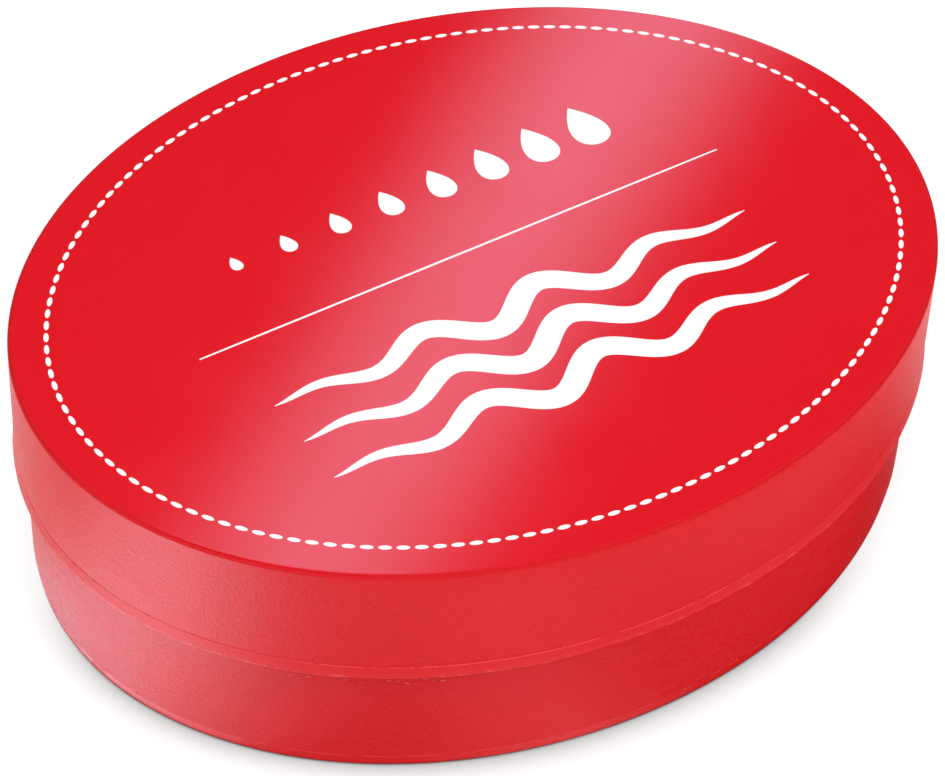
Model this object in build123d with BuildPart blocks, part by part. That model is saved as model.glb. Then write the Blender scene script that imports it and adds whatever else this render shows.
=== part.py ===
"""Oval desk dish of finger-moistening gel with a slip-on lid and a label on the lid.

Four pieces: the dish, the cake of gel poured into it, the lid that slips over the dish's neck and rests
on its lip, and the label on the lid. Millimetres, +Z up, X along the oval's long axis. The origin is on
the table, under the middle of the dish.
"""

import os
from math import cos, radians, sin, tan

from build123d import *

# Plan of the whole object: the oval outside the lid's skirt, at its foot
lid_length = 64.0
lid_width = 51.0

# Dish: drafted outer wall with a steep bevel and a rounded edge at its foot, and the ring that it stands on
dish_height = 10.4
dish_draft = 0.5
dish_floor = 1.0
foot_bevel = 0.2
foot_bevel_height = 1.0
foot_round = 0.3
foot_width = 2.5
foot_recess = 0.3

# Lip that the lid rests on: it stands out over the wall, and its face leans in towards the lid
lip_height = 1.0
lip_overhang = 0.15
lip_lean = 0.13
lip_step = 0.75
lip_edge = 0.1

# Neck that the lid slips over, with a friction bead that guides the lid
neck_height = 2.5
neck_wall = 0.9
neck_edge = 0.25
neck_clearance = 0.15
bead_clearance = 0.05
bead_height = 0.8
bead_drop = 0.9

# Cavity for the gel
cavity_draft = 0.8
cavity_floor_round = 2.0

# Moulding gate left in the recess under the dish
gate_diameter = 2.2
gate_height = 0.2

# Lid: plate and skirt of one moulding
lid_height = 7.9
lid_wall = 1.0
lid_plate = 1.1
lid_draft = 0.4
lid_edge_round = 0.15
lid_corner_round = 0.6
lid_foot_edge = 0.1
lid_lead_in = 0.25

# Label stuck on the lid's flat top
label_thickness = 0.12
label_inset = 0.03

# Gel: the depth that 15 ml fills, and its gap to the dish's wall
gel_depth = 6.95
gel_gap = 0.05
gel_edge_round = 0.4

# Steps that a rounded edge is lofted in, and how far from level an edge may be when it is picked
round_steps = 3
level_tolerance = 0.0001

# Heights above the table
cavity_floor = foot_recess + dish_floor
lip_underside = dish_height - lip_height
neck_top = dish_height + neck_height
bead_middle = neck_top - bead_drop
lid_top = dish_height + lid_height
lid_ceiling = lid_top - lid_plate
gel_top = cavity_floor + gel_depth

# Outlines, as distances outward from the oval of the lid's foot
lid_top_outset = -lid_height * tan(radians(lid_draft))
lid_ceiling_outset = -lid_wall - (lid_ceiling - dish_height) * tan(radians(lid_draft))
wall_top_outset = lip_overhang - lip_step
wall_foot_outset = wall_top_outset - (lip_underside - foot_bevel_height) * tan(radians(dish_draft))
foot_outset = wall_foot_outset - foot_bevel
recess_outset = foot_outset - foot_round - foot_width
neck_outset = -lid_wall - neck_clearance
bead_outset = -lid_wall - bead_clearance
cavity_mouth_outset = neck_outset - neck_wall
cavity_floor_outset = cavity_mouth_outset - (neck_top - cavity_floor) * tan(radians(cavity_draft))
label_outset = lid_top_outset - lid_edge_round - label_inset
gel_floor_outset = cavity_floor_outset - gel_gap
gel_top_outset = gel_floor_outset + gel_depth * tan(radians(cavity_draft))

# Turns of a quarter round, from its flat to its wall or back
round_turns = [radians(90 * step / round_steps) for step in range(round_steps + 1)]


def low_round(height, outset, radius):
    """Heights and outsets of a rounded lower edge, from the flat underside up to the wall."""
    return [(height + radius * (1 - cos(turn)), outset - radius * (1 - sin(turn))) for turn in round_turns]


def high_round(height, outset, radius):
    """Heights and outsets of a rounded upper edge, from the wall up to the flat top."""
    return [(height - radius * (1 - sin(turn)), outset - radius * (1 - cos(turn))) for turn in round_turns]


def oval_section(height, outset):
    """One oval of the plan at a height, outset from the oval of the lid's foot."""
    with BuildSketch(Plane.XY.offset(height)) as section:
        Ellipse(lid_length / 2 + outset, lid_width / 2 + outset)
    return section.sketch


def oval_loft(levels, mode=Mode.ADD):
    """Adds or cuts the solid through level ovals, each given by its height and outset."""
    loft([oval_section(height, outset) for height, outset in levels], ruled=True, mode=mode)


def edges_at(part, height):
    """The part's edges that lie level at a height, from the innermost outwards."""
    level = part.edges().filter_by(lambda edge: abs(edge.bounding_box().min.Z - height) < level_tolerance
                                   and abs(edge.bounding_box().max.Z - height) < level_tolerance)
    return level.sort_by(SortBy.LENGTH)


with BuildPart() as base_dish:
    # Outer wall
    oval_loft(low_round(0, foot_outset, foot_round)
              + [(foot_bevel_height, wall_foot_outset), (lip_underside, wall_top_outset)])
    # Lip
    oval_loft([(lip_underside, lip_overhang), (dish_height, lip_overhang - lip_lean)])
    chamfer(edges_at(base_dish, lip_underside)[-1], lip_edge)
    # Neck with its bead
    oval_loft([
        (dish_height, neck_outset),
        (bead_middle - bead_height / 2, neck_outset),
        (bead_middle, bead_outset),
        (bead_middle + bead_height / 2, neck_outset),
        (neck_top, neck_outset),
    ])
    # Cavity
    oval_loft(low_round(cavity_floor, cavity_floor_outset, cavity_floor_round)
              + [(neck_top, cavity_mouth_outset)], mode=Mode.SUBTRACT)
    chamfer(edges_at(base_dish, neck_top), neck_edge)
    # Recess under the dish, with the gate in its middle
    oval_loft([(0, recess_outset), (foot_recess, recess_outset)], mode=Mode.SUBTRACT)
    with BuildSketch(Plane.XY.offset(foot_recess)):
        Circle(gate_diameter / 2)
    extrude(amount=-gate_height)
base_dish.part.label = "base_dish"

with BuildPart() as lid_cap:
    # Outside of the plate and skirt
    oval_loft([(dish_height, 0)] + high_round(lid_top, lid_top_outset, lid_edge_round))
    # Hollow, open below
    oval_loft([(dish_height, -lid_wall)] + high_round(lid_ceiling, lid_ceiling_outset, lid_corner_round),
              mode=Mode.SUBTRACT)
    skirt_foot = edges_at(lid_cap, dish_height)
    chamfer(skirt_foot[0], lid_lead_in)
    chamfer(skirt_foot[-1], lid_foot_edge)
lid_cap.part.label = "lid_cap"

with BuildPart() as lid_label:
    extrude(oval_section(lid_top, label_outset), amount=label_thickness)
lid_label.part.label = "lid_label"

with BuildPart() as moistener_gel:
    oval_loft(low_round(cavity_floor, gel_floor_outset, cavity_floor_round)
              + high_round(gel_top, gel_top_outset, gel_edge_round))
moistener_gel.part.label = "moistener_gel"

os.makedirs("parts", exist_ok=True)
for piece in (base_dish, lid_cap, lid_label, moistener_gel):
    export_step(piece.part, f"parts/{piece.part.label}.step")
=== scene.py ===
"""Looks of an oval desk dish of finger-moistening gel: moulded shells, printed label, gel, stage and camera.

Metres, in the frame of the solids. +Z is up, X runs along the oval, and the origin is on the table.
"""

from math import acos, ceil, cos, pi, radians, sin, tan

import bmesh
import bpy
from mathutils import Matrix, Vector


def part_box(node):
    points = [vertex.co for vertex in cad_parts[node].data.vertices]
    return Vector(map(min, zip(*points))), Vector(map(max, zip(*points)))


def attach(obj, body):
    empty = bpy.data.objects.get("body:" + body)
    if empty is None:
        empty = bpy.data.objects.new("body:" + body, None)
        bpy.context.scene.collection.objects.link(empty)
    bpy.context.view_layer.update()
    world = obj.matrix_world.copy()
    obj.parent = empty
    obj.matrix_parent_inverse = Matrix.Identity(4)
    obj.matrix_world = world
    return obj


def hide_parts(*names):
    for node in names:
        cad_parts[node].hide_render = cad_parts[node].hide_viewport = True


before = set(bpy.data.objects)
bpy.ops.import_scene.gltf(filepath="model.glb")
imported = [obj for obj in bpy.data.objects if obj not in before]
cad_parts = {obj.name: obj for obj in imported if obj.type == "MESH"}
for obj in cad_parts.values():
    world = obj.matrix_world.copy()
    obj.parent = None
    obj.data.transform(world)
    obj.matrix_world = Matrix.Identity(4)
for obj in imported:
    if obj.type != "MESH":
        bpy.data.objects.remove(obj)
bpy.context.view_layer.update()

MM = 0.001

# Boxes of the solids that the looks are built on
dish_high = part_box("base_dish")[1]
lid_low, lid_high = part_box("lid_cap")
label_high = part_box("lid_label")[1]
gel_low, gel_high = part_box("moistener_gel")

# Oval of the lid's foot. Every other oval is given by its distance outwards from this one.
half_length = lid_high.x
half_width = lid_high.y
spine = -half_width

# Heights above the table
dish_height = lid_low.z
lid_top = lid_high.z
label_top = label_high.z
neck_top = dish_high.z
cavity_floor = gel_low.z
gel_top = gel_high.z

# Lid: plate and skirt of one moulding
lid_wall = 1.0 * MM
lid_plate = 1.1 * MM
lid_draft = radians(0.4)
lid_edge_round = 0.15 * MM
lid_corner_round = 0.6 * MM
lid_foot_edge = 0.005 * MM
lid_lead_in = 0.25 * MM
lid_top_outset = -(lid_top - dish_height) * tan(lid_draft)
lid_ceiling = lid_top - lid_plate
lid_ceiling_outset = -lid_wall - (lid_ceiling - dish_height) * tan(lid_draft)

# Lip that the lid rests on
lip_height = 1.0 * MM
lip_overhang = dish_high.x - half_length
lip_lean = 0.13 * MM
lip_step = 0.75 * MM
lip_round = 0.1 * MM
seam_round = 0.005 * MM
lip_underside = dish_height - lip_height

# Dish: outer wall with its foot bevel, foot ring and the recess under it
dish_draft = radians(0.5)
foot_bevel = 0.12 * MM
foot_bevel_height = 1.0 * MM
bevel_round = 1.2 * MM
foot_round = 0.22 * MM
foot_edge_height = 1.15 * foot_round
foot_width = 2.5 * MM
foot_recess = 0.3 * MM
recess_round = 0.1 * MM
wall_top_outset = lip_overhang - lip_step
wall_foot_outset = wall_top_outset - (lip_underside - foot_bevel_height) * tan(dish_draft)
foot_outset = wall_foot_outset - foot_bevel
recess_outset = foot_outset - foot_round - foot_width
gate_radius = 1.1 * MM
gate_height = 0.2 * MM
gate_round = 0.06 * MM

# Neck with its friction bead, and the cavity inside it
neck_wall = 0.9 * MM
neck_clearance = 0.15 * MM
neck_round = 0.3 * MM
bead_clearance = 0.05 * MM
bead_height = 0.8 * MM
bead_drop = 0.9 * MM
bead_round = 0.5 * MM
cavity_draft = radians(0.8)
cavity_floor_round = 2.0 * MM
neck_outset = -lid_wall - neck_clearance
bead_outset = -lid_wall - bead_clearance
bead_middle = neck_top - bead_drop
cavity_mouth_outset = neck_outset - neck_wall
cavity_floor_outset = cavity_mouth_outset - (neck_top - cavity_floor) * tan(cavity_draft)

# Label film and the ink on it
label_outset = label_high.x - half_length
label_edge_slope = 0.08 * MM
label_edge_round = 0.05 * MM
label_foot_round = 0.01 * MM
label_thickness = label_top - lid_top
ink_height = 0.012 * MM

# Gel: gap to the dish, rounded rim, and the swell of its poured surface with a slighter one across it
gel_gap = 0.05 * MM
gel_rim_round = 0.4 * MM
gel_rings = 26
gel_swell = 0.12 * MM
gel_wave = 17.0 * MM
swell_start = 0.7
swell_stretch = 0.8
cross_swell = 0.6
cross_along = 0.9
cross_across = 1.7
gel_floor_outset = cavity_floor_outset - gel_gap
gel_top_outset = gel_floor_outset + (gel_top - cavity_floor) * tan(cavity_draft)

# Fineness of the shells: steps round the oval and an edge, and points that hold a flat beside an edge
oval_segments = 288
round_step = radians(14)
round_least_steps = 3
hold = 0.06 * MM
hold_parts = 3
weld = 0.001 * MM

# How flash, flecks and print are drawn: steps, sides, and shares of the sizes that they are given
flash_steps = 1600
flash_sides = 6
flash_fine_patch = 0.25
flash_least = 0.2
flash_unevenness = 1.5
fleck_segments = 8
fleck_rings = 4
bead_sides = 16
stroke_steps = 240
stroke_least = 0.01
drop_sides = 40
drop_stretch = 1.2


# Helpers for node trees

def fill(tree, node, inputs):
    """Fills a node's inputs with links or plain values."""
    for key, value in inputs.items():
        if isinstance(value, bpy.types.NodeSocket):
            tree.links.new(value, node.inputs[key])
        else:
            node.inputs[key].default_value = value


def add_node(tree, kind, inputs=None, **settings):
    """Adds a node, makes its settings and fills its inputs."""
    node = tree.nodes.new(kind)
    for setting, value in settings.items():
        setattr(node, setting, value)
    fill(tree, node, inputs or {})
    return node


def math_node(tree, operation, first, second=0.0):
    """The result of one sum on two values or links."""
    return add_node(tree, "ShaderNodeMath", {0: first, 1: second}, operation=operation).outputs[0]


def map_range(tree, value, start, end, low=0.0, high=1.0, smooth=False):
    """A value carried from one range to another, and held at its ends."""
    node = add_node(tree, "ShaderNodeMapRange", {
        "Value": value, "From Min": start, "From Max": end, "To Min": low, "To Max": high,
    }, interpolation_type="SMOOTHSTEP" if smooth else "LINEAR")
    return node.outputs[0]


def point_place(tree):
    """Each point's place, in a shape tree."""
    return tree.nodes.new("GeometryNodeInputPosition").outputs[0]


def object_place(tree):
    """Each spot's place on its object, in a material."""
    return tree.nodes.new("ShaderNodeTexCoord").outputs["Object"]


def new_group(name, kind, inputs, outputs):
    """A node group with named sockets. Returns the tree, its inputs by name and its output node."""
    tree = bpy.data.node_groups.new(name, kind)
    for label, socket in inputs:
        tree.interface.new_socket(label, in_out="INPUT", socket_type="NodeSocket" + socket)
    for label, socket in outputs:
        tree.interface.new_socket(label, in_out="OUTPUT", socket_type="NodeSocket" + socket)
    entry = tree.nodes.new("NodeGroupInput")
    return tree, entry.outputs, tree.nodes.new("NodeGroupOutput")


def shape_tree(name, inputs):
    """An empty Geometry Nodes tree with named size inputs and a material."""
    sockets = [("Geometry", "Geometry"), *inputs, ("Material", "Material")]
    return new_group(name, "GeometryNodeTree", sockets, [("Geometry", "Geometry")])


def end_shape(tree, entry, exit_node, geometry, smooth=True):
    """Ends a shape tree: instances made real, smooth or flat shading and the material."""
    real = add_node(tree, "GeometryNodeRealizeInstances", {"Geometry": geometry})
    shaded = add_node(tree, "GeometryNodeSetShadeSmooth",
                      {"Geometry": real.outputs[0], "Shade Smooth": smooth})
    dressed = add_node(tree, "GeometryNodeSetMaterial",
                       {"Geometry": shaded.outputs[0], "Material": entry["Material"]})
    tree.links.new(dressed.outputs[0], exit_node.inputs["Geometry"])


def add_object(name, data):
    """A new object in the scene."""
    placed = bpy.data.objects.new(name, data)
    bpy.context.scene.collection.objects.link(placed)
    return placed


def make_shape(name, tree, sizes, material, points=()):
    """An object at the origin with the plain mesh that a shape tree makes from sizes and points."""
    seed_mesh = bpy.data.meshes.new(name)
    seed_mesh.from_pydata(points, [], [])
    piece = add_object(name, seed_mesh)
    modifier = piece.modifiers.new("shape", "NODES")
    modifier.node_group = tree
    for item in tree.interface.items_tree:
        if item.name in sizes:
            modifier[item.identifier] = sizes[item.name]
        if item.name == "Material":
            modifier[item.identifier] = material
    graph = bpy.context.evaluated_depsgraph_get()
    plain = bpy.data.meshes.new_from_object(piece.evaluated_get(graph))
    piece.modifiers.remove(modifier)
    piece.data = plain
    bpy.data.meshes.remove(seed_mesh)
    plain.name = name
    return piece


def face_outwards(piece):
    """Turns the faces of a closed shell outwards."""
    shell = bmesh.new()
    shell.from_mesh(piece.data)
    bmesh.ops.recalc_face_normals(shell, faces=shell.faces)
    shell.to_mesh(piece.data)
    shell.free()


# Shells through ovals

def outline(corners):
    """Points (outset, 0, height) along corners (outset, height, radius).

    Each corner is rounded by an arc, with a point close to either end that holds the flat beside it.
    """
    points = []
    for place, (outset, height, radius) in enumerate(corners):
        corner = Vector((outset, 0, height))
        if place in (0, len(corners) - 1) or radius == 0:
            points.append(corner)
            continue
        before = Vector((corners[place - 1][0], 0, corners[place - 1][1])) - corner
        after = Vector((corners[place + 1][0], 0, corners[place + 1][1])) - corner
        back, ahead = before.normalized(), after.normalized()
        opening = acos(max(-1.0, min(1.0, back.dot(ahead))))
        reach = radius / tan(opening / 2)
        middle = corner + (back + ahead).normalized() * radius / sin(opening / 2)
        first, last = corner + back * reach, corner + ahead * reach
        steps = max(round_least_steps, ceil((pi - opening) / round_step))
        sweep = (first - middle).rotation_difference(last - middle)
        points.append(first + back * min(hold, (before.length - reach) / hold_parts))
        for step in range(steps + 1):
            turn = Matrix.Rotation(sweep.angle * step / steps, 3, sweep.axis)
            points.append(middle + turn @ (first - middle))
        points.append(last + ahead * min(hold, (after.length - reach) / hold_parts))
    return points


def oval_lathe_tree():
    """Carries an outline round an oval: its X is added to both half axes, and its Z is the height."""
    sizes = [("Half Length", "Float"), ("Half Width", "Float"), ("Segments", "Int"), ("Weld", "Float")]
    tree, entry, exit_node = shape_tree("oval_lathe", sizes)
    counted = add_node(tree, "GeometryNodeAttributeDomainSize", {"Geometry": entry["Geometry"]})
    rows = counted.outputs["Point Count"]
    columns = math_node(tree, "ADD", entry["Segments"], 1)
    grid = add_node(tree, "GeometryNodeMeshGrid", {"Vertices X": columns, "Vertices Y": rows})
    index = tree.nodes.new("GeometryNodeInputIndex").outputs[0]
    column = math_node(tree, "FLOOR", math_node(tree, "DIVIDE", index, rows))
    row = math_node(tree, "MODULO", index, rows)
    place = point_place(tree)
    sampled = add_node(tree, "GeometryNodeSampleIndex", {
        "Geometry": entry["Geometry"], "Value": place, "Index": row,
    }, data_type="FLOAT_VECTOR")
    profile = add_node(tree, "ShaderNodeSeparateXYZ", {0: sampled.outputs[0]}).outputs
    turn = math_node(tree, "DIVIDE", math_node(tree, "MULTIPLY", column, 2 * pi), entry["Segments"])
    along = math_node(tree, "ADD", entry["Half Length"], profile["X"])
    across = math_node(tree, "ADD", entry["Half Width"], profile["X"])
    ring = add_node(tree, "ShaderNodeCombineXYZ", {
        "X": math_node(tree, "MULTIPLY", along, math_node(tree, "COSINE", turn)),
        "Y": math_node(tree, "MULTIPLY", across, math_node(tree, "SINE", turn)),
        "Z": profile["Z"],
    })
    lofted = add_node(tree, "GeometryNodeSetPosition",
                      {"Geometry": grid.outputs[0], "Position": ring.outputs[0]})
    closed = add_node(tree, "GeometryNodeMergeByDistance",
                      {"Geometry": lofted.outputs[0], "Distance": entry["Weld"]})
    end_shape(tree, entry, exit_node, closed.outputs[0])
    return tree


def make_shell(name, corners, material, length=half_length, width=half_width):
    """A closed shell lofted round the oval through an outline's corners."""
    sizes = {"Half Length": length, "Half Width": width, "Segments": oval_segments, "Weld": weld}
    piece = make_shape(name, oval_lathe, sizes, material, outline(corners))
    face_outwards(piece)
    return piece


def make_lid(material):
    """Lid: from the middle of its ceiling down inside the skirt, then up outside it to the plate's middle."""
    return make_shell("lid_shell", [
        (spine, lid_ceiling, 0),
        (lid_ceiling_outset, lid_ceiling, lid_corner_round),
        (-lid_wall, dish_height + lid_lead_in, lid_foot_edge),
        (-lid_wall + lid_lead_in, dish_height, lid_foot_edge),
        (0, dish_height, lid_foot_edge),
        (lid_top_outset, lid_top, lid_edge_round),
        (spine, lid_top, 0),
    ], material)


def make_dish(material):
    """Dish: from the middle of the cavity, over the neck and lip, down the wall and under the foot."""
    return make_shell("dish_shell", [
        (spine, cavity_floor, 0),
        (cavity_floor_outset, cavity_floor, cavity_floor_round),
        (cavity_mouth_outset, neck_top, neck_round),
        (neck_outset, neck_top, neck_round),
        (neck_outset, bead_middle + bead_height / 2, bead_round),
        (bead_outset, bead_middle, bead_round),
        (neck_outset, bead_middle - bead_height / 2, bead_round),
        (neck_outset, dish_height, lip_round),
        (lip_overhang - lip_lean, dish_height, seam_round),
        (lip_overhang, lip_underside, lip_round),
        (wall_top_outset, lip_underside, lip_round),
        (wall_foot_outset, foot_bevel_height, bevel_round),
        (foot_outset, foot_edge_height, foot_round),
        (foot_outset, 0, foot_round),
        (recess_outset, 0, recess_round),
        (recess_outset, foot_recess, recess_round),
        (spine, foot_recess, 0),
    ], material)


def make_gate(material):
    """Stub of the moulding gate under the dish, sunk a little into the recess."""
    low = foot_recess - gate_height
    return make_shell("gate_stub", [
        (-gate_radius, foot_recess + gate_round, 0),
        (0, foot_recess + gate_round, 0),
        (0, low, gate_round),
        (-gate_radius, low, 0),
    ], material, gate_radius, gate_radius)


def make_label(material):
    """Label film on the lid's plate, with its cut edge sloped and eased."""
    return make_shell("label_film", [
        (spine, lid_top, 0),
        (label_outset, lid_top, label_foot_round),
        (label_outset - label_edge_slope, label_top, label_edge_round),
        (spine, label_top, 0),
    ], material)


def make_gel(material):
    """Cake of gel with a rounded rim and a softly uneven top."""
    top_run = spine - gel_top_outset
    corners = [
        (spine, cavity_floor, 0),
        (gel_floor_outset, cavity_floor, cavity_floor_round),
        (gel_top_outset, gel_top, gel_rim_round),
    ]
    for ring in range(2, gel_rings + 1):
        corners.append((gel_top_outset + top_run * ring / gel_rings, gel_top, 0))
    piece = make_shell("gel_cake", corners, material)
    for point in piece.data.vertices:
        if point.co.z > gel_top - weld:
            along = 2 * pi * point.co.x / gel_wave
            across = 2 * pi * point.co.y / gel_wave
            swell = sin(along + swell_start) * cos(swell_stretch * across)
            swell += cross_swell * sin(cross_across * across - cross_along * along)
            edge = (point.co.x / half_length) ** 2 + (point.co.y / half_width) ** 2
            point.co.z += gel_swell * (swell / 2 - 1) * max(0.0, 1 - edge)
    return piece


# What follows an oval or repeats: flash, scuffs and print

oval_inputs = [("Half Length", "Float"), ("Half Width", "Float"), ("Height", "Float")]


def oval_curve(tree, entry):
    """A fine curve along the oval of the tree's half axes, at its height."""
    circle = add_node(tree, "GeometryNodeCurvePrimitiveCircle", {"Resolution": flash_steps, "Radius": 1.0})
    place = point_place(tree)
    axes = add_node(tree, "ShaderNodeCombineXYZ", {"X": entry["Half Length"], "Y": entry["Half Width"]})
    lift = add_node(tree, "ShaderNodeCombineXYZ", {"Z": entry["Height"]})
    spread = add_node(tree, "ShaderNodeVectorMath", {0: place, 1: axes.outputs[0], 2: lift.outputs[0]},
                      operation="MULTIPLY_ADD")
    oval = add_node(tree, "GeometryNodeSetPosition",
                    {"Geometry": circle.outputs[0], "Position": spread.outputs[0]})
    return oval.outputs[0]


def along_curve(tree):
    """The turn that lays a shape's X along the curve at each point."""
    tangent = tree.nodes.new("GeometryNodeInputTangent").outputs[0]
    return add_node(tree, "FunctionNodeAlignRotationToVector", {"Vector": tangent}, axis="X").outputs[0]


def patch_noise(tree, size, seed):
    """Noise at each point's place, in patches of a size."""
    place = point_place(tree)
    scale = math_node(tree, "DIVIDE", 1.0, size)
    noise = add_node(tree, "ShaderNodeTexNoise", {"Vector": place, "W": seed, "Scale": scale, "Detail": 2.0},
                     noise_dimensions="4D")
    return noise.outputs[0]


def flash_line_tree():
    """A thin broken ridge of moulding flash along an oval, uneven in thickness and fullest on one side."""
    tree, entry, exit_node = shape_tree("flash_line", [
        *oval_inputs, ("Thickness", "Float"), ("Patch Size", "Float"), ("Bare Level", "Float"),
        ("Full Side", "Vector"), ("Thinning", "Float"), ("Seed", "Float"),
    ])
    edges = add_node(tree, "GeometryNodeCurveToMesh", {"Curve": oval_curve(tree, entry)})
    patches = patch_noise(tree, entry["Patch Size"], entry["Seed"])
    place = point_place(tree)
    outward = add_node(tree, "ShaderNodeVectorMath", {0: place}, operation="NORMALIZE").outputs[0]
    facing = add_node(tree, "ShaderNodeVectorMath", {0: outward, 1: entry["Full Side"]},
                      operation="DOT_PRODUCT")
    aside = math_node(tree, "SUBTRACT", 1.0, facing.outputs["Value"])
    level = math_node(tree, "ADD", entry["Bare Level"], math_node(tree, "MULTIPLY", aside, entry["Thinning"]))
    bare = math_node(tree, "LESS_THAN", patches, level)
    broken = add_node(tree, "GeometryNodeDeleteGeometry", {"Geometry": edges.outputs[0], "Selection": bare})
    runs = add_node(tree, "GeometryNodeMeshToCurve", {"Mesh": broken.outputs[0]})
    fine_size = math_node(tree, "MULTIPLY", entry["Patch Size"], flash_fine_patch)
    fine = patch_noise(tree, fine_size, entry["Seed"])
    uneven = math_node(tree, "ADD", math_node(tree, "MULTIPLY", fine, flash_unevenness), flash_least)
    profile = add_node(tree, "GeometryNodeCurvePrimitiveCircle",
                       {"Resolution": flash_sides, "Radius": entry["Thickness"]})
    ridge = add_node(tree, "GeometryNodeCurveToMesh", {
        "Curve": runs.outputs[0], "Profile Curve": profile.outputs[0], "Scale": uneven, "Fill Caps": True,
    })
    end_shape(tree, entry, exit_node, ridge.outputs[0])
    return tree


def scuff_tree():
    """Small pale scuffs, in patches, scattered in a band along an oval."""
    tree, entry, exit_node = shape_tree("scuffs", [
        *oval_inputs, ("Count", "Int"), ("Scatter", "Float"), ("Least", "Vector"), ("Most", "Vector"),
        ("Patch Size", "Float"), ("Bare Level", "Float"), ("Seed", "Int"),
    ])
    spots = add_node(tree, "GeometryNodeResampleCurve",
                     {"Curve": oval_curve(tree, entry), "Count": entry["Count"]})
    down = math_node(tree, "MULTIPLY", entry["Scatter"], -1.0)
    stray = add_node(tree, "FunctionNodeRandomValue", {2: down, 3: entry["Scatter"], "Seed": entry["Seed"]})
    shift = add_node(tree, "ShaderNodeCombineXYZ", {"Z": stray.outputs[1]})
    strewn = add_node(tree, "GeometryNodeSetPosition",
                      {"Geometry": spots.outputs[0], "Offset": shift.outputs[0]})
    kept = math_node(tree, "GREATER_THAN", patch_noise(tree, entry["Patch Size"], entry["Seed"]),
                     entry["Bare Level"])
    size = add_node(tree, "FunctionNodeRandomValue",
                    {0: entry["Least"], 1: entry["Most"], "Seed": entry["Seed"]}, data_type="FLOAT_VECTOR")
    fleck = add_node(tree, "GeometryNodeMeshUVSphere",
                     {"Segments": fleck_segments, "Rings": fleck_rings, "Radius": 1.0})
    strewn_flecks = add_node(tree, "GeometryNodeInstanceOnPoints", {
        "Points": strewn.outputs[0], "Selection": kept, "Instance": fleck.outputs[0],
        "Rotation": along_curve(tree), "Scale": size.outputs[0],
    })
    end_shape(tree, entry, exit_node, strewn_flecks.outputs[0])
    return tree


def border_bead_tree():
    """A border of small flat grains of ink at even steps along an oval."""
    sizes = [*oval_inputs, ("Count", "Int"), ("Bead", "Vector")]
    tree, entry, exit_node = shape_tree("border_beads", sizes)
    spots = add_node(tree, "GeometryNodeResampleCurve",
                     {"Curve": oval_curve(tree, entry), "Count": entry["Count"]})
    grain = add_node(tree, "GeometryNodeMeshCylinder", {"Vertices": bead_sides, "Radius": 0.5, "Depth": 1.0})
    beads = add_node(tree, "GeometryNodeInstanceOnPoints", {
        "Points": spots.outputs[0], "Instance": grain.outputs[0], "Rotation": along_curve(tree),
        "Scale": entry["Bead"],
    })
    end_shape(tree, entry, exit_node, beads.outputs[0], smooth=False)
    return tree


def ripple_tree():
    """Flat strokes of ink, straight or waved, that thin out at both ends, one above another."""
    tree, entry, exit_node = shape_tree("ripples", [
        ("Length", "Float"), ("Waves", "Float"), ("Wave Height", "Float"), ("Stroke", "Float"),
        ("Taper", "Float"), ("Ink", "Float"), ("Count", "Int"), ("Pitch", "Float"), ("Start", "Vector"),
    ])
    end = add_node(tree, "ShaderNodeCombineXYZ", {"X": entry["Length"]})
    line = add_node(tree, "GeometryNodeCurvePrimitiveLine", {"End": end.outputs[0]})
    fine = add_node(tree, "GeometryNodeResampleCurve", {"Curve": line.outputs[0], "Count": stroke_steps})
    place = point_place(tree)
    run = add_node(tree, "ShaderNodeSeparateXYZ", {0: place}).outputs["X"]
    share = math_node(tree, "DIVIDE", run, entry["Length"])
    swell = math_node(tree, "SINE", math_node(tree, "MULTIPLY", share, pi))
    swell = math_node(tree, "MAXIMUM", swell, stroke_least)
    phase = math_node(tree, "MULTIPLY", math_node(tree, "MULTIPLY", share, entry["Waves"]), 2 * pi)
    rise = math_node(tree, "MULTIPLY", math_node(tree, "SINE", phase), entry["Wave Height"])
    offset = add_node(tree, "ShaderNodeCombineXYZ", {"Y": math_node(tree, "MULTIPLY", rise, swell)})
    waved = add_node(tree, "GeometryNodeSetPosition",
                     {"Geometry": fine.outputs[0], "Offset": offset.outputs[0]})
    level = add_node(tree, "GeometryNodeSetCurveNormal", {"Curve": waved.outputs[0]}, mode="Z_UP")
    flat = add_node(tree, "GeometryNodeCurvePrimitiveQuadrilateral",
                    {"Width": entry["Stroke"], "Height": entry["Ink"]})
    stroke = add_node(tree, "GeometryNodeCurveToMesh", {
        "Curve": level.outputs[0], "Profile Curve": flat.outputs[0], "Fill Caps": True,
        "Scale": math_node(tree, "POWER", swell, entry["Taper"]),
    })
    step = add_node(tree, "ShaderNodeCombineXYZ", {"Y": entry["Pitch"]})
    rows = add_node(tree, "GeometryNodeMeshLine",
                    {"Count": entry["Count"], "Start Location": entry["Start"], "Offset": step.outputs[0]})
    strokes = add_node(tree, "GeometryNodeInstanceOnPoints",
                       {"Points": rows.outputs[0], "Instance": stroke.outputs[0]})
    end_shape(tree, entry, exit_node, strokes.outputs[0], smooth=False)
    return tree


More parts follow.
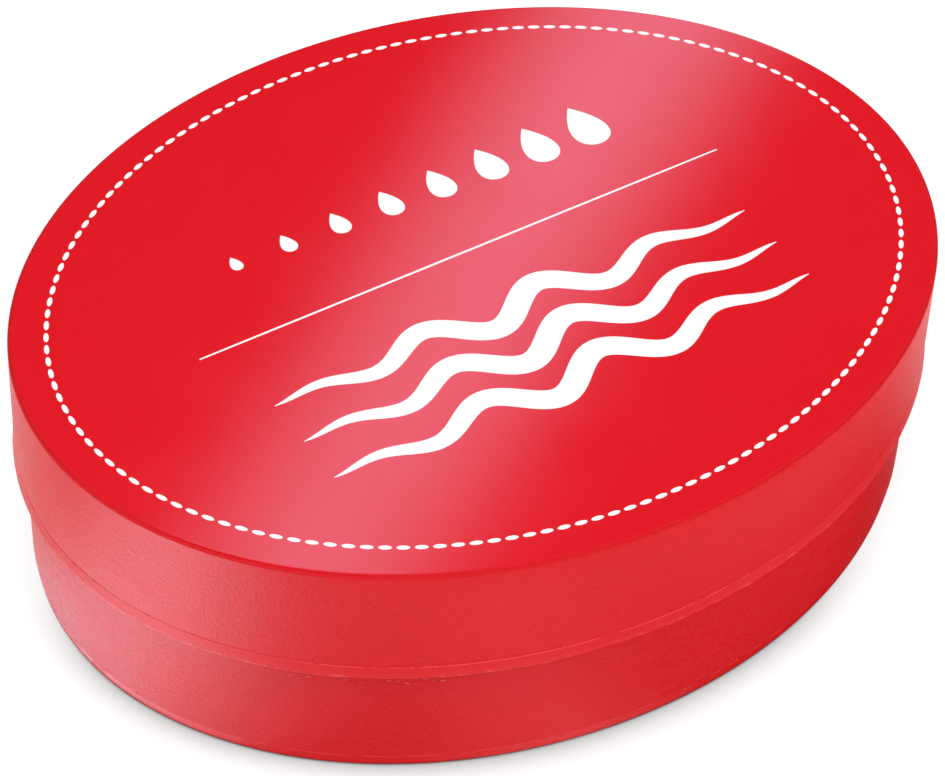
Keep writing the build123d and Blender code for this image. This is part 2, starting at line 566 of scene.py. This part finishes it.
def graded_drop_tree():
    """A row of flat drops of ink, drawn from discs, that grow from one end to the other."""
    tree, entry, exit_node = shape_tree("graded_drops", [
        ("Count", "Int"), ("Pitch", "Float"), ("First", "Float"), ("Growth", "Float"), ("Ink", "Float"),
        ("Start", "Vector"),
    ])
    disc = add_node(tree, "GeometryNodeMeshCylinder", {"Vertices": drop_sides, "Radius": 1.0, "Depth": 1.0})
    place = point_place(tree)
    round_place = add_node(tree, "ShaderNodeSeparateXYZ", {0: place}).outputs
    from_tip = math_node(tree, "MAXIMUM", math_node(tree, "SUBTRACT", 1.0, round_place["Y"]), 0.0)
    narrow = math_node(tree, "SQRT", math_node(tree, "MULTIPLY", from_tip, 0.5))
    drawn = add_node(tree, "ShaderNodeCombineXYZ", {
        "X": math_node(tree, "MULTIPLY", round_place["X"], narrow),
        "Y": math_node(tree, "MULTIPLY", round_place["Y"], drop_stretch),
        "Z": round_place["Z"],
    })
    drop = add_node(tree, "GeometryNodeSetPosition",
                    {"Geometry": disc.outputs[0], "Position": drawn.outputs[0]})
    step = add_node(tree, "ShaderNodeCombineXYZ", {"X": entry["Pitch"]})
    spots = add_node(tree, "GeometryNodeMeshLine",
                     {"Count": entry["Count"], "Start Location": entry["Start"], "Offset": step.outputs[0]})
    index = tree.nodes.new("GeometryNodeInputIndex").outputs[0]
    wide = math_node(tree, "ADD", math_node(tree, "MULTIPLY", index, entry["Growth"]), entry["First"])
    size = add_node(tree, "ShaderNodeCombineXYZ", {"X": wide, "Y": wide, "Z": entry["Ink"]})
    drops = add_node(tree, "GeometryNodeInstanceOnPoints",
                     {"Points": spots.outputs[0], "Instance": drop.outputs[0], "Scale": size.outputs[0]})
    end_shape(tree, entry, exit_node, drops.outputs[0], smooth=False)
    return tree


# Surface effects that several materials share

# Noise levels where flecks and mottle start and end, the share of drag lines, and how softly patches end
fleck_levels = (0.70, 0.82)
mottle_levels = (0.43, 0.87)
drag_share = 0.3
patch_softness = 0.12


def moulded_grain_group():
    """Fine pebble of a spark-eroded mould, drag lines from its release, and pale flecks."""
    tree, entry, exit_node = new_group("moulded_grain", "ShaderNodeTree", [
        ("Vector", "Vector"), ("Pebble Scale", "Float"), ("Drag Scale", "Vector"), ("Fleck Scale", "Float"),
    ], [("Height", "Float"), ("Mottle", "Float"), ("Flecks", "Float")])
    pebble = add_node(tree, "ShaderNodeTexNoise", {
        "Vector": entry["Vector"], "Scale": entry["Pebble Scale"], "Detail": 2.0, "Roughness": 0.6,
    })
    stretched = add_node(tree, "ShaderNodeMapping", {"Vector": entry["Vector"], "Scale": entry["Drag Scale"]})
    drag = add_node(tree, "ShaderNodeTexNoise",
                    {"Vector": stretched.outputs[0], "Scale": 1.0, "Detail": 3.0, "Roughness": 0.55})
    sparse = add_node(tree, "ShaderNodeTexNoise",
                      {"Vector": entry["Vector"], "Scale": entry["Fleck Scale"], "Detail": 1.0})
    flecks = map_range(tree, sparse.outputs[0], *fleck_levels)
    drag_height = math_node(tree, "MULTIPLY", drag.outputs[0], drag_share)
    height = math_node(tree, "ADD", pebble.outputs[0], drag_height)
    mottle = map_range(tree, height, *mottle_levels)
    fill(tree, exit_node, {"Height": height, "Mottle": mottle, "Flecks": flecks})
    return tree


def height_band_group():
    """A band round the piece at one height, broken where its patches leave it bare. It marks wear, and also
    painted light and painted shade.
    """
    tree, entry, exit_node = new_group("height_band", "ShaderNodeTree", [
        ("Vector", "Vector"), ("Height", "Float"), ("Core", "Float"), ("Reach", "Float"),
        ("Patch Scale", "Float"), ("Patch Level", "Float"),
    ], [("Mask", "Float")])
    place = add_node(tree, "ShaderNodeSeparateXYZ", {0: entry["Vector"]}).outputs
    away = math_node(tree, "ABSOLUTE", math_node(tree, "SUBTRACT", place["Z"], entry["Height"]))
    band = map_range(tree, away, entry["Core"], entry["Reach"], 1.0, 0.0, smooth=True)
    patches = add_node(tree, "ShaderNodeTexNoise",
                       {"Vector": entry["Vector"], "Scale": entry["Patch Scale"], "Detail": 3.0})
    soft_end = math_node(tree, "ADD", entry["Patch Level"], patch_softness)
    patchy = map_range(tree, patches.outputs[0], entry["Patch Level"], soft_end)
    mask = math_node(tree, "MULTIPLY", band, patchy)
    tree.links.new(mask, exit_node.inputs["Mask"])
    return tree


def new_material(name):
    """A material with its Principled shader, and its tree."""
    material = bpy.data.materials.new(name)
    material.use_nodes = True
    return material, material.node_tree, material.node_tree.nodes["Principled BSDF"]


def use_group(tree, group, inputs):
    """Places a shared group in a material and returns its outputs."""
    return add_node(tree, "ShaderNodeGroup", inputs, node_tree=group).outputs


def mix_colours(tree, share, first, second):
    """One colour laid over another by a mask."""
    mixed = add_node(tree, "ShaderNodeMix", {0: share, 6: first, 7: second}, data_type="RGBA")
    return mixed.outputs[2]


def bump_normal(tree, height, depth, strength):
    """A normal from a height that varies over the surface."""
    bump = add_node(tree, "ShaderNodeBump", {"Height": height, "Distance": depth, "Strength": strength})
    return bump.outputs[0]


# Finishes

# Moulded plastic: pebble, drag lines and pale flecks, gloss, and how deep its grain is
pebble_size = 0.24 * MM
drag_length = 2.4 * MM
fleck_size = 0.3 * MM
fleck_strength = 0.15
plastic_rough = 0.32
plastic_rough_spread = 0.16
plastic_specular = 0.2
polish_rough = 0.35
lid_grain_depth = 0.036 * MM
dish_grain_depth = 0.028 * MM
rubbed_grain_depth = 0.008 * MM

# Patch level of a band that nothing breaks
unbroken = -1.0

# Label film: press mottle, gloss that handling changes, slow waves from the lid under it, and its cut edge,
# painted in the shade red as painted shade and made matt
press_size = 1.6 * MM
press_share = 0.5
handled_size = 6.0 * MM
handled_levels = (0.3, 0.7)
film_rough = (0.07, 0.10)
film_wave = 14.0 * MM
film_wave_depth = 0.02 * MM
film_wave_strength = 0.2
film_index = 1.5
cut_edge_shares = (0.85, 0.99)

# White ink: unevenness of its cover
cover_size = 0.5 * MM
cover_share = 0.3
ink_rough = 0.18
ink_rough_spread = 0.1

# Wet gel: streaks from pouring, fine ripples, and how far light goes into it
streak_size = 9.0 * MM
streak_twist = 1.2
gel_ripple_size = 2.2 * MM
gel_ripple_depth = 0.05 * MM
gel_ripple_strength = 0.35
gel_rough = 0.10
gel_rough_spread = 0.12
gel_light_share = 0.7
gel_light_tints = (1.0, 0.6, 0.5)
gel_light_depth = 3.0 * MM
gel_index = 1.45


def noise_over(tree, place, size, detail, twist=0.0):
    """Noise over a surface, in patches of a size."""
    noise = add_node(tree, "ShaderNodeTexNoise",
                     {"Vector": place, "Scale": 1 / size, "Detail": detail, "Distortion": twist})
    return noise.outputs[0]


def rough_by(tree, mask, least, spread):
    """A roughness that grows with a mask."""
    return math_node(tree, "ADD", least, math_node(tree, "MULTIPLY", mask, spread))


def tone_band(height, core, reach, strength, colour, patch=1.0 * MM, level=unbroken, polish=0.0):
    """A band of colour for wear, painted light and painted shade: its height, half widths, strength and
    colour, its patches and its polish.
    """
    return height, core, reach, strength, colour, patch, level, polish


def red_plastic(name, deep, light, grain_depth, bands):
    """Matt red moulded plastic: pebble grain, drag lines, pale flecks, and bands of wear, painted light and
    painted shade.
    """
    material, tree, shader = new_material(name)
    place = object_place(tree)
    grain = use_group(tree, moulded_grain, {
        "Vector": place, "Pebble Scale": 1 / pebble_size, "Fleck Scale": 1 / fleck_size,
        "Drag Scale": (1 / drag_length, 1 / drag_length, 1 / pebble_size),
    })
    mottled = mix_colours(tree, grain["Mottle"], deep, light)
    flecks = math_node(tree, "MULTIPLY", grain["Flecks"], fleck_strength)
    marked_colour = mix_colours(tree, flecks, mottled, plastic_pale)
    for height, core, reach, strength, band_colour, patch, level, polish in bands:
        mask = use_group(tree, height_band, {
            "Vector": place, "Height": height, "Core": core, "Reach": reach,
            "Patch Scale": 1 / patch, "Patch Level": level,
        })["Mask"]
        marked_colour = mix_colours(tree, math_node(tree, "MULTIPLY", mask, strength), marked_colour, band_colour)
        if polish:
            shine = math_node(tree, "MULTIPLY", mask, polish)
            fill(tree, shader, {"Coat Weight": shine, "Coat Roughness": polish_rough})
    fill(tree, shader, {
        "Base Color": marked_colour, "Specular IOR Level": plastic_specular,
        "Roughness": rough_by(tree, grain["Mottle"], plastic_rough, plastic_rough_spread),
        "Normal": bump_normal(tree, grain["Height"], grain_depth, 1.0),
    })
    return material


def label_film_finish():
    """Glossy printed film: red ink with a faint press mottle, and a slow waviness from the lid under it. Its
    cut edge is darkened as painted shade and made matt.
    """
    material, tree, shader = new_material("label_red_film")
    place = object_place(tree)
    press = math_node(tree, "MULTIPLY", noise_over(tree, place, press_size, detail=4.0), press_share)
    ink = mix_colours(tree, press, label_red, label_red_deep)
    handled = noise_over(tree, place, handled_size, detail=3.0)
    gloss = map_range(tree, handled, *handled_levels, *film_rough)
    # Painted shade: the label's cut edge turns to the shade red and matt, to hold down the light it would
    # catch
    cut_edge = use_group(tree, height_band, {
        "Vector": place, "Height": lid_top, "Core": cut_edge_shares[0] * label_thickness,
        "Reach": cut_edge_shares[1] * label_thickness, "Patch Scale": 1 / MM, "Patch Level": unbroken,
    })["Mask"]
    slow = noise_over(tree, place, film_wave, detail=1.0)
    fill(tree, shader, {
        "Base Color": mix_colours(tree, cut_edge, ink, painted_shade_red), "IOR": film_index,
        "Roughness": math_node(tree, "MAXIMUM", gloss, cut_edge),
        "Normal": bump_normal(tree, slow, film_wave_depth, film_wave_strength),
    })
    return material


def white_ink_finish():
    """White screen ink with a faint unevenness in its cover."""
    material, tree, shader = new_material("label_white_ink")
    cover = noise_over(tree, object_place(tree), cover_size, detail=3.0)
    thin = math_node(tree, "MULTIPLY", cover, cover_share)
    fill(tree, shader, {
        "Base Color": mix_colours(tree, thin, ink_white, ink_thin),
        "Roughness": rough_by(tree, cover, ink_rough, ink_rough_spread),
    })
    return material


def gel_finish():
    """Wet, milky gel that lets some light through, with faint streaks from pouring."""
    material, tree, shader = new_material("poured_gel")
    place = object_place(tree)
    streaks = noise_over(tree, place, streak_size, detail=4.0, twist=streak_twist)
    ripple = noise_over(tree, place, gel_ripple_size, detail=2.0)
    fill(tree, shader, {
        "Base Color": mix_colours(tree, streaks, gel_clear, gel_milky), "IOR": gel_index,
        "Roughness": rough_by(tree, streaks, gel_rough, gel_rough_spread),
        "Normal": bump_normal(tree, ripple, gel_ripple_depth, gel_ripple_strength),
        "Subsurface Weight": gel_light_share, "Subsurface Radius": gel_light_tints,
        "Subsurface Scale": gel_light_depth,
    })
    return material


# Colours, as they are in plain light, save those noted below that paint light or shade
lid_deep_red = (0.69, 0.003, 0.007, 1.0)
lid_light_red = (0.76, 0.012, 0.017, 1.0)
# The dish's reds are a little darker than the lid's, as painted shade for the base, which sits low by the
# table and under the lip
dish_deep_red = (0.655, 0.003, 0.007, 1.0)
dish_light_red = (0.715, 0.012, 0.017, 1.0)
# Shade red, laid on edges and at the seam as painted shade
painted_shade_red = (0.61, 0.009, 0.014, 1.0)
# Highlight red, laid on the lid's upper edge, the lip, the foot bevel and the wall under the lip as painted
# light
painted_light_red = (0.76, 0.002, 0.006, 1.0)
plastic_pale = (0.84, 0.20, 0.22, 1.0)
# Paler reds of the flash, a painted highlight for the catch-light along the seam, lip and foot
flash_highlight_deep_red = (0.84, 0.05, 0.06, 1.0)
flash_highlight_light_red = (0.90, 0.085, 0.095, 1.0)
scuff_deep_red = (0.78, 0.10, 0.12, 1.0)
scuff_light_red = (0.84, 0.18, 0.20, 1.0)
label_red = (0.695, 0.0095, 0.0175, 1.0)
label_red_deep = (0.66, 0.0085, 0.0155, 1.0)
ink_white = (0.92, 0.90, 0.90, 1.0)
ink_thin = (0.88, 0.78, 0.78, 1.0)
gel_clear = (0.86, 0.55, 0.52, 1.0)
gel_milky = (0.93, 0.74, 0.70, 1.0)

moulded_grain = moulded_grain_group()
height_band = height_band_group()
oval_lathe = oval_lathe_tree()

lid_red = red_plastic("lid_red_plastic", lid_deep_red, lid_light_red, lid_grain_depth, [
    # Painted light: the lid's upper wall and rounded top edge are painted a brighter, cleaner red, where
    # light falls on the edge
    tone_band(lid_top, core=0.2 * MM, reach=2.2 * MM, strength=0.5, colour=painted_light_red),
    # Painted shade: the lid's rounded top edge is painted darker, to hold down the light that falls on it
    # from above
    tone_band(lid_top, core=0.06 * MM, reach=0.15 * MM, strength=1.0, colour=painted_shade_red),
    # Painted shade along the lid's foot, where it meets the lip at the seam
    tone_band(dish_height, core=0.06 * MM, reach=0.3 * MM, strength=0.25, colour=painted_shade_red),
])
dish_red = red_plastic("dish_red_plastic", dish_deep_red, dish_light_red, dish_grain_depth, [
    # Painted highlight: the lip is painted a brighter red, where light falls on its leaning face; its satin
    # coat is real gloss
    tone_band(dish_height - lip_height / 2, core=lip_height / 2, reach=0.56 * MM, strength=0.5,
            colour=painted_light_red, polish=0.16),
    # Painted light: the foot bevel is painted brighter, for the light that the table throws back onto it
    tone_band(foot_bevel_height / 2, core=0.4 * MM, reach=0.65 * MM, strength=0.8, colour=painted_light_red),
    # Painted light: the wall just under the lip is painted brighter, against the shade that the lip casts on
    # it
    tone_band(lip_underside - 0.6 * MM, core=0.5 * MM, reach=1.2 * MM, strength=0.6, colour=painted_light_red),
    # Painted sheen: a faint, unbroken pale band over the lip's lower edge
    tone_band(lip_underside + 0.1 * MM, core=0.05 * MM, reach=0.5 * MM, strength=0.03, colour=plastic_pale),
    tone_band(lip_underside + 0.08 * MM, core=0.0, reach=0.2 * MM, strength=0.4, colour=plastic_pale,
            patch=0.7 * MM, level=0.54),
    tone_band(foot_bevel_height, core=0.0, reach=0.15 * MM, strength=0.12, colour=plastic_pale, level=0.52),
])
label_red_film = label_film_finish()
white_ink = white_ink_finish()
wet_gel = gel_finish()
# The flash ridges are real shape; their paler red is a painted highlight for the catch-light along the seam,
# lip and foot
flash_highlight_red = red_plastic("flash_highlight_plastic", flash_highlight_deep_red, flash_highlight_light_red, rubbed_grain_depth, [])
scuffed_red = red_plastic("scuffed_red_plastic", scuff_deep_red, scuff_light_red, rubbed_grain_depth, [])

# The lid with its label, and the dish with its gel
lid = make_lid(lid_red)
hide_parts("lid_cap")
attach(lid, "lid")

label = make_label(label_red_film)
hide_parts("lid_label")
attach(label, "lid")

dish = make_dish(dish_red)
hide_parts("base_dish")
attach(dish, "dish")

gate = make_gate(dish_red)
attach(gate, "dish")

gel = make_gel(wet_gel)
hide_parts("moistener_gel")
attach(gel, "dish")


def oval_sizes(outset, height):
    """Inputs that place a shape along an oval."""
    return {"Half Length": half_length + outset, "Half Width": half_width + outset, "Height": height}


# Flash on the dish's edges, fullest on one side, and scuffs on its wall
flash_side = (-0.45, -0.89, 0.0)
flash_line = flash_line_tree()
scuffs = scuff_tree()


def make_flash(name, outset, height, thickness, patch, bare, thinning, seed):
    """A line of flash along an oval of the dish."""
    return make_shape(name, flash_line, oval_sizes(outset, height) | {
        "Thickness": thickness, "Patch Size": patch, "Bare Level": bare, "Full Side": flash_side,
        "Thinning": thinning, "Seed": seed,
    }, flash_highlight_red)


seam_flash = make_flash("seam_flash", lip_overhang - lip_lean, dish_height - 0.05 * MM,
                        thickness=0.038 * MM, patch=0.9 * MM, bare=0.36, thinning=0.42, seed=3.0)
lip_flash = make_flash("lip_flash", lip_overhang - 0.02 * MM, lip_underside + 0.06 * MM,
                       thickness=0.016 * MM, patch=0.6 * MM, bare=0.55, thinning=0.05, seed=8.0)
foot_flash = make_flash("foot_flash", wall_foot_outset - 0.01 * MM, foot_bevel_height,
                        thickness=0.018 * MM, patch=0.9 * MM, bare=0.48, thinning=0.1, seed=5.0)
wall_scuffs = make_shape("wall_scuffs", scuffs, oval_sizes(wall_top_outset, lip_underside - 1.0 * MM) | {
    "Count": 320, "Scatter": 0.35 * MM, "Least": (0.03 * MM, 0.01 * MM, 0.02 * MM),
    "Most": (0.2 * MM, 0.02 * MM, 0.06 * MM), "Patch Size": 3.0 * MM, "Bare Level": 0.55, "Seed": 4,
}, scuffed_red)
for piece in (seam_flash, lip_flash, foot_flash, wall_scuffs):
    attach(piece, "dish")

# Print on the label: a beaded border, and a row of drops that grow, over a thin rule and ripples
border_inset = 2.3 * MM
ink_middle = label_top + ink_height / 4
border_oval = oval_sizes(label_outset - border_inset, ink_middle)
border = make_shape("label_border", border_bead_tree(), border_oval | {
    "Count": 150, "Bead": (0.84 * MM, 0.34 * MM, ink_height),
}, white_ink)
ripples = ripple_tree()
rule = make_shape("label_rule", ripples, {
    "Length": 40.0 * MM, "Waves": 0.0, "Wave Height": 0.0, "Stroke": 0.16 * MM, "Taper": 0.1,
    "Ink": ink_height, "Count": 1, "Pitch": 0.0, "Start": (-20.0 * MM, 1.8 * MM, ink_middle),
}, white_ink)
waves = make_shape("label_ripples", ripples, {
    "Length": 36.0 * MM, "Waves": 4.0, "Wave Height": 1.25 * MM, "Stroke": 1.7 * MM, "Taper": 0.7,
    "Ink": ink_height, "Count": 3, "Pitch": 3.6 * MM, "Start": (-18.0 * MM, -11.4 * MM, ink_middle),
}, white_ink)
drops = make_shape("label_drops", graded_drop_tree(), {
    "Count": 8, "Pitch": 3.9 * MM, "First": 0.55 * MM, "Growth": 0.17 * MM, "Ink": ink_height,
    "Start": (-13.65 * MM, 8.4 * MM, ink_middle),
}, white_ink)
for piece in (border, rule, waves, drops):
    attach(piece, "lid")


# Stage, light and camera

# Camera: turns in degrees, lens, and where the middle of the lid's top lies in its view
view_azimuth = -34.207
view_elevation = 44.625
view_roll = 2.491
view_lens = 134.31
aim_right = 0.62 * MM
aim_up = 7.79 * MM
aim_depth = 229.42 * MM
aim_point = Vector((0, 0, lid_top))

# Table, the painted shadow where the object meets it, and the even light all round
floor_half = 3.0
floor_white = (0.86, 0.86, 0.86, 1.0)
floor_seen = (0.16, 0.16, 0.16, 1.0)
floor_glow = 0.93
floor_rough = 0.9
contact_samples = 16
contact_reach = 4.2 * MM
contact_dark = 0.86
contact_falloff = 2.5
contact_floor = 0.35
shade_turn = 8
shade_edge = (7 * MM, 19 * MM)
shade_least = 0.22
surround_grey = (0.03, 0.03, 0.03, 1.0)

# Strip of light whose reflection crosses the label in a band
strip_white = (0.75, 1.0, 1.36, 1.0)
band_start = (22.7 * MM, 15.0 * MM)
band_end = (-21.1 * MM, -15.6 * MM)
strip_distance = 0.5
strip_reach = (0.037, 0.4)
strip_core = (0.0, 0.7)
strip_glow = 2.5

# Pool of light on the table that the walls reflect, with a grid that holds back what leaves at a slant
pool_white = (0.68, 1.06, 1.24, 1.0)
card_lift = 0.1 * MM
pool_centre = Vector((-51.4 * MM, -12.5 * MM, card_lift))
pool_along = Vector((0.306, -0.952, 0)).normalized()
pool_reach = (34 * MM, 20 * MM)
pool_core = (0.33, 0.0)
pool_glow = 5.6
grid_tilts = (0.44, 0.74)
grid_least = 0.15

# Dark flags on the table: name, middle, direction, half sizes across and along in millimetres, and core
flags = [
    ("flag_right_front", (14.9, -26.0), (0.962, 0.273), (11, 36), (0.3, 0.3)),
    ("flag_front", (-23.0, -20.5), (0.85, -0.52), (11, 17), (0.1, 0.1)),
    ("flag_right", (26.9, -13.1), (0.716, 0.698), (6.5, 15), (0.2, 0.3)),
    ("flag_left", (-29.4, 5.3), (0.268, 0.963), (2.4, 10), (0.15, 0.3)),
    ("flag_far_right", (16.4, -42.0), (0.94, 0.342), (6, 30), (0.3, 0.2)),
]

card_up = Vector((0, 0, 1))
clear_ring = 0.15 * MM
plain_white = (1.0, 1.0, 1.0, 1.0)
plain_black = (0.0, 0.0, 0.0, 1.0)


def camera_turn():
    """The camera's turn: azimuth, elevation and roll."""
    spin = Matrix.Rotation(radians(view_azimuth), 3, "Z")
    tilt = Matrix.Rotation(radians(90 - view_elevation), 3, "X")
    return spin @ tilt @ Matrix.Rotation(radians(view_roll), 3, "Z")


def add_camera():
    """The camera at the photographed angle."""
    turn = camera_turn()
    data = bpy.data.cameras.new("camera")
    data.lens = view_lens
    data.clip_start = 1 * MM
    camera = add_object("camera", data)
    place = aim_point + turn @ Vector((-aim_right, -aim_up, aim_depth))
    camera.matrix_world = Matrix.Translation(place) @ turn.to_4x4()
    bpy.context.scene.camera = camera


def level_towards(turn):
    """The level direction from the object to a place turned round it from the camera: left is minus."""
    angle = radians(view_azimuth + turn)
    return Vector((sin(angle), -cos(angle), 0))


def flat_sheet(name, wide, long):
    """A level rectangle round the origin, by its half sizes."""
    data = bpy.data.meshes.new(name)
    corners = [(-wide, -long, 0), (wide, -long, 0), (wide, long, 0), (-wide, long, 0)]
    data.from_pydata(corners, [], [(0, 1, 2, 3)])
    return data


def add_floor():
    """A wide plain white table with a painted shadow where the object meets it, seen by the camera only and
    strongest on one side.
    """
    data = flat_sheet("floor", floor_half, floor_half)
    material, tree, shader = new_material("floor_white")
    ray = tree.nodes.new("ShaderNodeLightPath").outputs
    # Painted contact shadow: the camera sees the table darker where the object closes over it, and more
    # towards one side
    corner = add_node(tree, "ShaderNodeAmbientOcclusion", {"Distance": contact_reach},
                      samples=contact_samples)
    closed = map_range(tree, corner.outputs["AO"], 1.0, contact_floor)
    place = tree.nodes.new("ShaderNodeNewGeometry").outputs["Position"]
    forward = add_node(tree, "ShaderNodeVectorMath", {0: place, 1: level_towards(shade_turn)},
                       operation="DOT_PRODUCT")
    side = map_range(tree, forward.outputs["Value"], *shade_edge, shade_least * contact_dark, contact_dark,
                     smooth=True)
    side = math_node(tree, "MULTIPLY", side, ray["Is Camera Ray"])
    shade = math_node(tree, "MULTIPLY", math_node(tree, "POWER", closed, contact_falloff), side)
    open_share = math_node(tree, "SUBTRACT", 1.0, shade)
    seen = math_node(tree, "MAXIMUM", ray["Is Camera Ray"], ray["Is Glossy Ray"])
    seen = math_node(tree, "MAXIMUM", seen, ray["Is Transmission Ray"])
    seen_white = mix_colours(tree, open_share, plain_black, floor_seen)
    glow = math_node(tree, "MULTIPLY", math_node(tree, "MULTIPLY", seen, floor_glow), open_share)
    fill(tree, shader, {
        "Base Color": mix_colours(tree, seen, floor_white, seen_white), "Roughness": floor_rough,
        "Specular IOR Level": 0.0, "Emission Color": plain_white, "Emission Strength": glow,
    })
    data.materials.append(material)
    floor = add_object("floor", data)


def add_softbox(name, turn, elevation, distance, size, radiance):
    """A square softbox that faces the object, turned round it from the camera: left is minus."""
    data = bpy.data.lights.new(name, "AREA")
    data.shape = "SQUARE"
    data.size = size
    data.energy = radiance * pi * size * size
    box = add_object(name, data)
    rise = radians(elevation)
    towards = level_towards(turn) * cos(rise) + Vector((0, 0, sin(rise)))
    facing = towards.to_track_quat("Z", "Y").to_matrix().to_4x4()
    box.matrix_world = Matrix.Translation(towards * distance) @ facing
    box.visible_camera = False
    box.visible_glossy = False


def outside_foot(tree):
    """A mask that is nothing under the dish and grows to one across a narrow ring round its foot."""
    spot = tree.nodes.new("ShaderNodeNewGeometry").outputs["Position"]
    place = add_node(tree, "ShaderNodeSeparateXYZ", {0: spot})
    along = math_node(tree, "DIVIDE", place.outputs["X"], half_length + foot_outset)
    across = math_node(tree, "DIVIDE", place.outputs["Y"], half_width + foot_outset)
    square = math_node(tree, "ADD", math_node(tree, "MULTIPLY", along, along),
                       math_node(tree, "MULTIPLY", across, across))
    return map_range(tree, math_node(tree, "SQRT", square), 1.0, 1.0 + clear_ring / half_width, smooth=True)


def light_grid(tree):
    """A grid over a light, which lets less through the more the light leaves at a slant."""
    tilt = tree.nodes.new("ShaderNodeLayerWeight").outputs["Facing"]
    return map_range(tree, tilt, *grid_tilts, 1.0, grid_least, smooth=True)


def add_card(name, centre, facing, along, reach, core, colour, glow, gridded=False):
    """A card, lit or dark, that only reflections see. It fades out from a core, across and along."""
    data = flat_sheet(name, *reach)
    material, tree, shader = new_material(name)
    place = add_node(tree, "ShaderNodeSeparateXYZ", {0: object_place(tree)}).outputs
    fades = []
    for axis, edge, share in zip("XY", reach, core):
        away = math_node(tree, "ABSOLUTE", place[axis])
        fades.append(map_range(tree, away, edge * share, edge, 1.0, 0.0, smooth=True))
    shown = math_node(tree, "MULTIPLY", *fades)
    if glow:
        shown = math_node(tree, "MULTIPLY", shown, outside_foot(tree))
    if gridded:
        shown = math_node(tree, "MULTIPLY", shown, light_grid(tree))
    fill(tree, shader, {
        "Alpha": shown, "Base Color": plain_black, "Specular IOR Level": 0.0, "Emission Color": colour,
        "Emission Strength": glow,
    })
    data.materials.append(material)
    card = add_object(name, data)
    turn = Matrix((along.cross(facing), along, facing)).transposed().to_4x4()
    card.matrix_world = Matrix.Translation(centre) @ turn
    card.visible_camera = False
    card.visible_diffuse = False
    card.visible_transmission = False
    card.visible_shadow = False


def add_strip():
    """A strip of light whose reflection runs straight across the label."""
    eye = bpy.context.scene.camera.matrix_world.translation
    eye_below = Vector((eye.x, eye.y, 2 * label_top - eye.z))
    start, end = Vector((*band_start, label_top)), Vector((*band_end, label_top))
    middle = (start + end) / 2
    facing = (eye_below - middle).normalized()
    run = end - start
    along = (run - run.dot(facing) * facing).normalized()
    centre = middle - facing * strip_distance
    add_card("strip", centre, facing, along, strip_reach, strip_core, strip_white, strip_glow)


def set_surround():
    """Dim even light from all round, white where the camera sees it."""
    world = bpy.data.worlds.new("surround")
    world.use_nodes = True
    tree = world.node_tree
    seen = tree.nodes.new("ShaderNodeLightPath").outputs["Is Camera Ray"]
    colour = mix_colours(tree, seen, surround_grey, plain_white)
    tree.links.new(colour, tree.nodes["Background"].inputs["Color"])
    bpy.context.scene.world = world


add_camera()
add_floor()
set_surround()
add_softbox("left_key", turn=-68, elevation=46, distance=0.8, size=0.7, radiance=3.3)
add_softbox("right_key", turn=66, elevation=44, distance=0.8, size=0.7, radiance=3.9)
add_softbox("overhead", turn=0, elevation=85, distance=0.7, size=0.5, radiance=0.9)
add_strip()
add_card("pool", pool_centre, card_up, pool_along, pool_reach, pool_core, pool_white, pool_glow, gridded=True)
for name, place, along, reach, core in flags:
    centre = Vector((place[0] * MM, place[1] * MM, card_lift))
    run = Vector((*along, 0)).normalized()
    half_sizes = (reach[0] * MM, reach[1] * MM)
    add_card(name, centre, card_up, run, half_sizes, core, pool_white, 0.0)

bpy.context.scene.view_settings.view_transform = "Standard"
